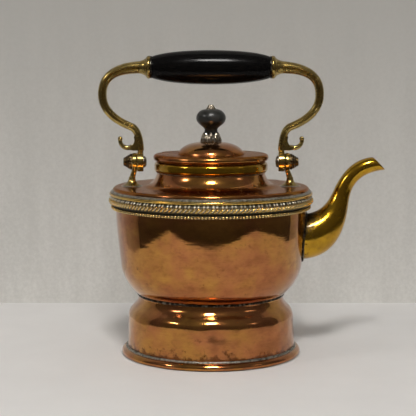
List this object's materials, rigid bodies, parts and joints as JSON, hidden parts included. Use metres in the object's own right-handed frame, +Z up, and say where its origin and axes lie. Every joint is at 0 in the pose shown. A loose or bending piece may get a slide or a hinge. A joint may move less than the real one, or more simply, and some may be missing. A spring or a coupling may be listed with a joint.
{
  "type": "kettle",
  "caption": "Copper kettle on a raised foot, with a brass gooseneck spout, a stamped brass band, a lift-off lid and a swinging bail handle with a wooden grip.",
  "frame": {"origin": "centre of the foot's flat underside, on the surface that the kettle stands on", "axes": "+Z up along the axis of the bowl, +X towards the spout, and the handle swings about X"},
  "size_m": [0.2584, 0.185, 0.2739],
  "materials": {
    "copper": "polished copper with old patina",
    "brass": "polished cast brass, dark in its recesses",
    "tin": "dull grey tin solder",
    "black_wood": "ebonised turned wood, waxed",
    "bronze": "tarnished cast bronze",
    "steel": "plain steel"
  },
  "bodies": {
    "kettle": {"foot_ring": "copper", "foot_plate": "copper", "foot_solder": "tin", "foot_drum": "copper", "waist_solder": "tin", "bowl": "copper", "spout": "brass", "spout_solder": "tin", "gallery_band": "brass", "band_solder": "tin", "shoulder": "copper", "neck_ring": "brass", "neck_solder": "tin", "post_left": "brass", "post_right": "brass", "post_solder": "tin", "post_washers": "steel", "post_nuts": "steel", "pivot_bolt_left": "bronze", "pivot_bolt_right": "bronze", "pivot_nut_left": "bronze", "pivot_nut_right": "bronze"},
    "lid": {"lid_shell": "copper", "lid_rim": "copper", "lid_flange": "copper", "knob_calyx": "bronze", "knob": "black_wood", "knob_cap": "bronze", "knob_rod": "steel", "knob_washer": "steel", "knob_nut": "steel"},
    "bail": {"arm_left": "brass", "arm_right": "brass", "grip": "black_wood", "grip_rod": "steel", "grip_washers": "tin"}
  },
  "joints": [
    {"name": "lid_lift", "type": "slide", "parent": "kettle", "child": "lid", "axis": [0, 0, 1], "range_m": [0, 0.0165]},
    {"name": "bail_swing", "type": "hinge", "parent": "kettle", "child": "bail", "pos_m": [0, 0, 0.174], "axis": [1, 0, 0], "range_deg": [-94, 94]}
  ]
}
